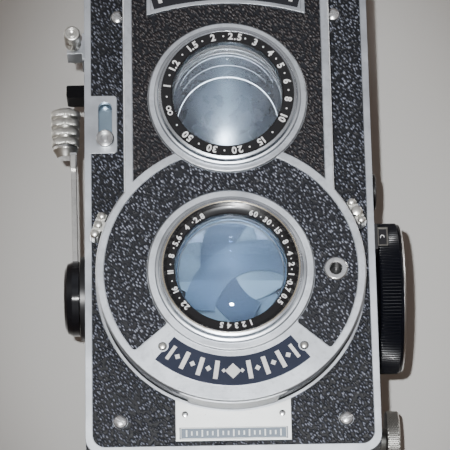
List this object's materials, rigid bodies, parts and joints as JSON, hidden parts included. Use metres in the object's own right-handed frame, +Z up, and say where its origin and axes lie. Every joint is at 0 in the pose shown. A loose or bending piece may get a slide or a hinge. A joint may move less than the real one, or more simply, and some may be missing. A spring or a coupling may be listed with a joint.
{
  "type": "twin lens reflex camera",
  "caption": "Medium format twin lens reflex camera with focusing lens board, folding hood with magnifier, film crank, focus knob and hinged back.",
  "frame": {"origin": "centre of the tripod socket's mouth, in the plane of the four feet", "axes": "+Z up, -Y is the direction the lenses look, +X is to the right of a viewer who faces the lenses"},
  "size_m": [0.1021, 0.1021, 0.224],
  "materials": {
    "black_paint": "satin",
    "satin_chrome": "satin",
    "bright_chrome": "polished",
    "satin_aluminium": "satin",
    "black_leather": "pebble grain",
    "black_enamel": "gloss",
    "lens_glass": "polished",
    "screen_glass": "ground",
    "mirror_glass": "polished",
    "brass": "machined",
    "steel": "brushed"
  },
  "bodies": {
    "root": {"body_shell": "black_paint", "front_plate": "satin_chrome", "body_leathers": "black_leather", "plate_screws": "bright_chrome", "lower_plate": "satin_chrome", "base_plate": "satin_chrome", "tripod_socket": "bright_chrome", "film_gate": "black_paint", "mirror": "mirror_glass", "ground_glass": "screen_glass", "hood_base": "black_paint", "side_fittings": "satin_chrome", "crank_rest": "black_paint", "release_guide": "satin_chrome", "door_pin": "bright_chrome"},
    "lens_board": {"lens_panel": "satin_aluminium", "panel_leathers": "black_leather", "view_barrel": "bright_chrome", "view_name_ring": "black_enamel", "view_front_glass": "lens_glass", "shutter_housing": "bright_chrome", "take_name_ring": "black_enamel", "take_front_glass": "lens_glass", "rear_lenses": "lens_glass", "badge": "black_enamel", "nameplate": "satin_aluminium", "cable_socket": "bright_chrome", "focus_rack": "brass"},
    "aperture_setting": {"aperture_lever": "bright_chrome"},
    "speed_setting": {"speed_lever": "bright_chrome"},
    "blade_1": {"shutter_blade_1": "steel"},
    "blade_2": {"shutter_blade_2": "steel"},
    "blade_3": {"shutter_blade_3": "steel"},
    "blade_4": {"shutter_blade_4": "steel"},
    "blade_5": {"shutter_blade_5": "steel"},
    "focus_drive": {"focus_shaft": "steel", "focus_knob": "black_enamel"},
    "crank": {"crank_arm": "satin_chrome", "crank_gear": "brass"},
    "crank_handle": {"crank_fork": "satin_chrome"},
    "grip": {"crank_grip": "bright_chrome"},
    "idler": {"idler_gear": "brass"},
    "take_up": {"take_up_spool": "black_enamel", "spool_gear": "brass"},
    "spool_release": {"spool_knob": "bright_chrome"},
    "release": {"release_button": "bright_chrome"},
    "slider": {"slider_button": "bright_chrome"},
    "roller_upper": {"upper_roller": "steel"},
    "roller_lower": {"lower_roller": "steel"},
    "door": {"back_door": "black_paint", "door_leather": "black_leather", "pressure_plate": "steel"},
    "latch": {"door_latch": "bright_chrome"},
    "hood_front_panel": {"hood_front": "black_paint", "finder_glass": "lens_glass"},
    "magnifier": {"magnifier_arm": "bright_chrome", "magnifier_lens": "lens_glass"},
    "hood_rear_panel": {"hood_rear": "black_paint"},
    "hood_left_panel": {"hood_left": "black_paint"},
    "hood_right_panel": {"hood_right": "black_paint"}
  },
  "joints": [
    {"name": "focus_slide", "type": "slide", "parent": "root", "child": "lens_board", "axis": [0, -1, 0], "range_m": [0, 0.007]},
    {"name": "focus_turn", "type": "hinge", "parent": "root", "child": "focus_drive", "pos_m": [0.044, -0.019, 0.0536], "axis": [1, 0, 0], "range_deg": [0, 134]},
    {"name": "aperture_turn", "type": "hinge", "parent": "lens_board", "child": "aperture_setting", "pos_m": [0, -0.0499, 0.0528], "axis": [0, -1, 0], "range_deg": [0, 45]},
    {"name": "speed_turn", "type": "hinge", "parent": "lens_board", "child": "speed_setting", "pos_m": [0, -0.04765, 0.0528], "axis": [0, 1, 0], "range_deg": [0, 46]},
    {"name": "blade_1_turn", "type": "hinge", "parent": "lens_board", "child": "blade_1", "pos_m": [0.02026, -0.0456, 0.05938], "axis": [0, 1, 0], "range_deg": [0, 36]},
    {"name": "blade_2_turn", "type": "hinge", "parent": "lens_board", "child": "blade_2", "pos_m": [0, -0.04505, 0.0741], "axis": [0, 1, 0], "range_deg": [0, 36]},
    {"name": "blade_3_turn", "type": "hinge", "parent": "lens_board", "child": "blade_3", "pos_m": [-0.02026, -0.0445, 0.05938], "axis": [0, 1, 0], "range_deg": [0, 36]},
    {"name": "blade_4_turn", "type": "hinge", "parent": "lens_board", "child": "blade_4", "pos_m": [-0.01252, -0.04395, 0.03557], "axis": [0, 1, 0], "range_deg": [0, 36]},
    {"name": "blade_5_turn", "type": "hinge", "parent": "lens_board", "child": "blade_5", "pos_m": [0.01252, -0.0434, 0.03557], "axis": [0, 1, 0], "range_deg": [0, 36]},
    {"name": "crank_turn", "type": "hinge", "parent": "root", "child": "crank", "pos_m": [-0.045, -0.019, 0.055], "axis": [1, 0, 0], "range_deg": [0, 150]},
    {"name": "idler_turn", "type": "hinge", "parent": "root", "child": "idler", "pos_m": [-0.0367, 0.00252, 0.07869], "axis": [1, 0, 0], "range_deg": [-123, 0]},
    {"name": "spool_turn", "type": "hinge", "parent": "root", "child": "take_up", "pos_m": [-0.0367, 0.02, 0.09793], "axis": [1, 0, 0], "range_deg": [0, 257.5]},
    {"name": "crank_fold", "type": "hinge", "parent": "crank", "child": "crank_handle", "pos_m": [-0.04515, -0.019, 0.097], "axis": [0, -1, 0], "range_deg": [0, 90]},
    {"name": "grip_spin", "type": "hinge", "parent": "crank_handle", "child": "grip", "pos_m": [-0.0475, -0.019, 0.108], "axis": [0, 0, 1], "continuous": true},
    {"name": "spool_knob_pull", "type": "slide", "parent": "root", "child": "spool_release", "axis": [1, 0, 0], "range_m": [0, 0.005], "stiffness_N_per_m": 400, "springref_m": -0.0005},
    {"name": "release_press", "type": "slide", "parent": "root", "child": "release", "axis": [0, 1, 0], "range_m": [0, 0.003], "stiffness_N_per_m": 300, "springref_m": -0.0003},
    {"name": "slider_move", "type": "slide", "parent": "root", "child": "slider", "axis": [0, 0, 1], "range_m": [0, 0.0095]},
    {"name": "upper_roller_spin", "type": "hinge", "parent": "root", "child": "roller_upper", "pos_m": [0, 0.0325, 0.0872], "axis": [1, 0, 0], "continuous": true},
    {"name": "lower_roller_spin", "type": "hinge", "parent": "root", "child": "roller_lower", "pos_m": [0, 0.0325, 0.0184], "axis": [1, 0, 0], "continuous": true},
    {"name": "door_open", "type": "hinge", "parent": "root", "child": "door", "pos_m": [0, 0.0413, 0.0045], "axis": [-1, 0, 0], "range_deg": [0, 90]},
    {"name": "latch_slide", "type": "slide", "parent": "door", "child": "latch", "axis": [1, 0, 0], "range_m": [0, 0.005], "stiffness_N_per_m": 200, "springref_m": -0.0005},
    {"name": "hood_front_fold", "type": "hinge", "parent": "root", "child": "hood_front_panel", "pos_m": [0, -0.035, 0.1605], "axis": [-1, 0, 0], "range_deg": [0, 90]},
    {"name": "hood_rear_fold", "type": "hinge", "parent": "root", "child": "hood_rear_panel", "pos_m": [0, 0.031, 0.1558], "axis": [1, 0, 0], "range_deg": [0, 90]},
    {"name": "hood_left_fold", "type": "hinge", "parent": "root", "child": "hood_left_panel", "pos_m": [-0.034, -0.0009, 0.153], "axis": [0, 1, 0], "range_deg": [0, 90]},
    {"name": "hood_right_fold", "type": "hinge", "parent": "root", "child": "hood_right_panel", "pos_m": [0.034, -0.0009, 0.1544], "axis": [0, -1, 0], "range_deg": [0, 90]},
    {"name": "magnifier_swing", "type": "hinge", "parent": "hood_front_panel", "child": "magnifier", "pos_m": [0, -0.0328, 0.1935], "axis": [-1, 0, 0], "range_deg": [-90, 0]}
  ],
  "couplings": [
    {"joint": "focus_turn", "follows": "focus_slide", "rad_per_m": 333.33},
    {"joint": "idler_turn", "follows": "crank_turn", "ratio": -0.81818},
    {"joint": "spool_turn", "follows": "crank_turn", "ratio": 1.7143},
    {"joint": "blade_2_turn", "follows": "blade_1_turn", "ratio": 1},
    {"joint": "blade_3_turn", "follows": "blade_1_turn", "ratio": 1},
    {"joint": "blade_4_turn", "follows": "blade_1_turn", "ratio": 1},
    {"joint": "blade_5_turn", "follows": "blade_1_turn", "ratio": 1}
  ]
}
